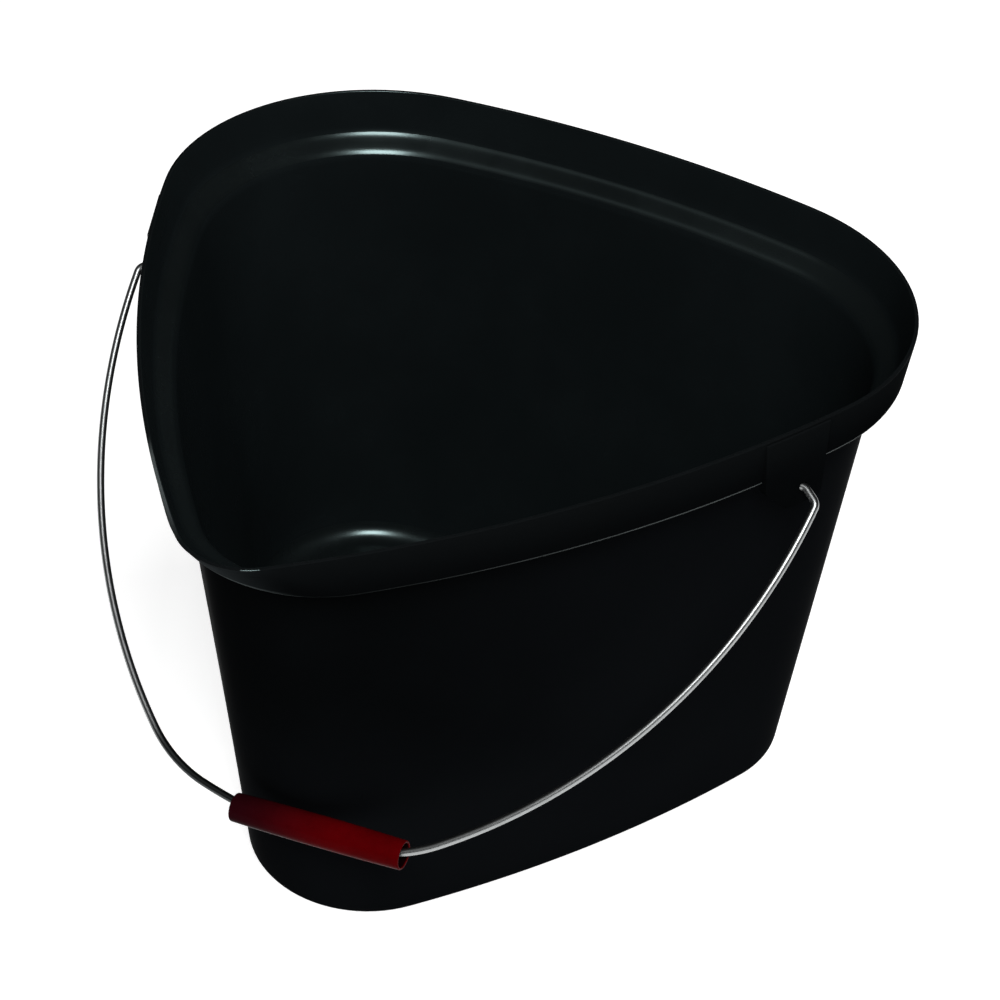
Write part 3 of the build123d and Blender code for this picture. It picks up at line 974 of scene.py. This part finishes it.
def paint_lip_highlight(sheet, mould):
    """A painted highlight on the lip beside the pouring corner, on its -X side."""
    stretch = sheet.math("MULTIPLY", sheet.rise("X", *LIP_START), sheet.fall("X", *LIP_END))
    sheet.paint(sheet.math("MULTIPLY", sheet.fall("Y", *LIP_FRONT), stretch), mould.lip_highlight)


def body_finishes(mould):
    """The moulding's materials, in the order of the finishes' numbers."""
    outside, inside = mould.wall_roughness, mould.inner_roughness
    wall = black_plastic("black_satin_wall", mould.wall_black, mould.wall_gloss, outside)
    collar = black_plastic("black_satin_collar", mould.wall_black, mould.collar_gloss, outside)
    # The collar's lower edge carries a painted highlight.
    edge = black_plastic("black_highlighted_edge", mould.edge_highlight, mould.edge_gloss, inside)
    polished = black_plastic("black_polished_inside", mould.ledge_black, mould.inner_gloss, inside)
    rim = black_plastic("black_rim", mould.rim_black_and_collar_light, mould.rim_gloss, inside)
    well = black_plastic("black_smooth_well", mould.inner_black, mould.well_gloss, inside)
    # Painted bounce light on the wall.
    paint_wall_bounce(wall, mould)
    # Painted light and sheen on the collar, and a painted highlight at its foot.
    paint_collar_light(collar, mould)
    # Painted highlight along the collar's lower edge.
    paint_edge_highlight(edge, mould)
    # Painted highlight on the lip.
    paint_lip_highlight(rim, mould)
    return [sheet.material for sheet in (wall, collar, edge, polished, rim, well)]


# Where the wire's painted shade lies, along X
SHADED_START = (-82 * MM, -60 * MM)
SHADED_END = (-20 * MM, 10 * MM)


def plated_wire(bail):
    """Drawn steel wire, plated, with duller patches and fine marks, and painted shade beside the grip."""
    sheet = NodeSheet("plated_steel_wire")
    sheet.finish("Metallic", 1.0)
    cloud = sheet.clouds(WIRE_CLOUDS, bail.roughness)
    sheet.finish("Base Color", sheet.mix(cloud, rgba(bail.steel), rgba(bail.dull)))
    # Painted shade on the wire beside the grip.
    shaded = sheet.math("MULTIPLY", sheet.rise("X", *SHADED_START), sheet.fall("X", *SHADED_END))
    sheet.paint(shaded, bail.shaded)
    sheet.finish("Normal", sheet.relief(WIRE_MARKS))
    return sheet.material


# How far past the tube's middle the darker -X end reaches, as a share of its length
DARK_END_REACH = 0.2


def red_tube(name, grip, red, darker):
    """Dark red tube with cloudy depth and fine scratches, darker towards its -X end."""
    sheet = NodeSheet(name)
    sheet.finish("Specular IOR Level", grip.gloss)
    middle = GRIP_MIDDLE.x
    # The tube is darker towards its -X end.
    lighter_part = sheet.rise("X", middle - grip.length / 2, middle + grip.length * DARK_END_REACH)
    tone = sheet.mix(lighter_part, rgba(darker), rgba(red))
    deeper_end, deep_red = ([TUBE_CLOUD_TONE * v for v in values] for values in (darker, red))
    deeper = sheet.mix(lighter_part, rgba(deeper_end), rgba(deep_red))
    sheet.finish("Base Color", sheet.mix(sheet.clouds(TUBE_CLOUDS, grip.roughness), tone, deeper))
    sheet.finish("Normal", sheet.relief(TUBE_SCRATCHES))
    return sheet.material


# Stage

FLOOR_RADIUS = 12.0
FLOOR_SIDES = 96
FLOOR_ROUGHNESS = 0.9
SENSOR_WIDTH = 36
KEY_DISTANCE = 1.6
FILL_DISTANCE = 2.0


def direction(azimuth, elevation):
    """Unit vector from the bucket towards a camera or lamp at that turn and height."""
    return Vector((sin(azimuth) * cos(elevation), -cos(azimuth) * cos(elevation), sin(elevation)))


def make_floor(stage):
    """A pale floor, which adds a glow of its own where it is seen, straight or in a reflection."""
    bm = bmesh.new()
    bmesh.ops.create_circle(bm, cap_ends=True, segments=FLOOR_SIDES, radius=FLOOR_RADIUS)
    floor = new_object("floor", bm)
    sheet = NodeSheet("pale_floor")
    sheet.finish("Base Color", rgba(stage.floor_colour))
    sheet.finish("Roughness", FLOOR_ROUGHNESS)
    sheet.finish("Specular IOR Level", 0.0)
    path = sheet.add("ShaderNodeLightPath").outputs
    seen = sheet.math("MAXIMUM", path["Is Camera Ray"], path["Is Glossy Ray"])
    seen = sheet.math("MAXIMUM", seen, path["Is Transmission Ray"])
    sheet.finish("Emission Color", WHITE)
    sheet.finish("Emission Strength", sheet.math("MULTIPLY", seen, stage.glow))
    floor.data.materials.append(sheet.material)


def make_camera(stage):
    """A camera at the photograph's angle."""
    back = direction(stage.azimuth, stage.elevation)
    right = Vector((cos(stage.azimuth), sin(stage.azimuth), 0))
    up = back.cross(right)
    c, s = cos(stage.roll), sin(stage.roll)
    axes = Matrix((right * c - up * s, right * s + up * c, back)).transposed()
    data = bpy.data.cameras.new("camera")
    data.lens = stage.lens
    data.sensor_width = SENSOR_WIDTH
    data.shift_x, data.shift_y = stage.shift
    camera = bpy.data.objects.new("camera", data)
    camera.matrix_world = Matrix.Translation(Vector(stage.target) + back * stage.distance) @ axes.to_4x4()
    bpy.context.scene.collection.objects.link(camera)
    bpy.context.scene.camera = camera


def add_lamp(name, target, towards, distance, width, height, watts):
    """A soft lamp that faces a point."""
    data = bpy.data.lights.new(name, "AREA")
    data.energy = watts
    data.shape = "RECTANGLE"
    data.size, data.size_y = width, height
    lamp = bpy.data.objects.new(name, data)
    place = target + towards * distance
    lamp.matrix_world = Matrix.Translation(place) @ towards.to_track_quat("Z", "Y").to_matrix().to_4x4()
    bpy.context.scene.collection.objects.link(lamp)
    return lamp


def make_lamps(stage):
    """The key lamp over the camera, a dim card that the ledge reflects, and a fill lamp at the side."""
    target = Vector(stage.target)
    to_key = direction(stage.azimuth, stage.key_elevation)
    to_card = direction(stage.card_azimuth, stage.key_elevation)
    to_fill = direction(stage.fill_azimuth, stage.fill_elevation)
    key, fill = stage.key_size, stage.fill_size
    add_lamp("key", target, to_key, KEY_DISTANCE, key, key, stage.key_power)
    add_lamp("card", target, to_card, KEY_DISTANCE, stage.card_width, stage.card_height, stage.card_power)
    lamp = add_lamp("fill", target, to_fill, FILL_DISTANCE, fill, fill, stage.fill_power)
    lamp.visible_glossy = False


def make_world(stage):
    """Even light from all round."""
    world = bpy.data.worlds.new("studio")
    world.use_nodes = True
    background = world.node_tree.nodes["Background"]
    background.inputs["Color"].default_value = WHITE
    background.inputs["Strength"].default_value = stage.sky
    bpy.context.scene.world = world


class BUCKET_OT_set_stage(bpy.types.Operator):
    """Set the floor, the light and the camera"""

    bl_idname = "bucket.set_stage"
    bl_label = "Set the stage"
    bl_options = {"REGISTER", "UNDO"}

    def execute(self, context):
        stage = context.scene.bucket_stage
        context.scene.view_settings.view_transform = "Standard"
        make_floor(stage)
        make_camera(stage)
        make_world(stage)
        make_lamps(stage)
        return {"FINISHED"}


# Add-on

SETTINGS = {
    "bucket_moulding": BucketMoulding,
    "bucket_ears": BucketEars,
    "bucket_bail": BucketBail,
    "bucket_grip": BucketGrip,
    "bucket_stage": BucketStage,
}
OPERATORS = (BUCKET_OT_mould_body, BUCKET_OT_bend_bail, BUCKET_OT_fit_grip, BUCKET_OT_set_stage)


class BUCKET_PT_sidebar(bpy.types.Panel):
    """Lists the bucket's steps and settings in the 3D view's sidebar"""

    bl_idname = "BUCKET_PT_sidebar"
    bl_label = "Builders bucket"
    bl_space_type = "VIEW_3D"
    bl_region_type = "UI"
    bl_category = "Bucket"

    def draw(self, context):
        for operator in OPERATORS:
            self.layout.operator(operator.bl_idname)
        for name in SETTINGS:
            box = self.layout.box()
            settings = getattr(context.scene, name)
            for key in settings.__annotations__:
                box.prop(settings, key)


def register():
    for name, group in SETTINGS.items():
        bpy.utils.register_class(group)
        setattr(bpy.types.Scene, name, bpy.props.PointerProperty(type=group))
    for operator in OPERATORS:
        bpy.utils.register_class(operator)
    bpy.utils.register_class(BUCKET_PT_sidebar)


def unregister():
    bpy.utils.unregister_class(BUCKET_PT_sidebar)
    for operator in reversed(OPERATORS):
        bpy.utils.unregister_class(operator)
    for name, group in SETTINGS.items():
        delattr(bpy.types.Scene, name)
        bpy.utils.unregister_class(group)


def main():
    register()
    bpy.ops.bucket.mould_body()
    bpy.ops.bucket.bend_bail()
    bpy.ops.bucket.fit_grip()
    bpy.ops.bucket.set_stage()


if __name__ == "__main__":
    main()
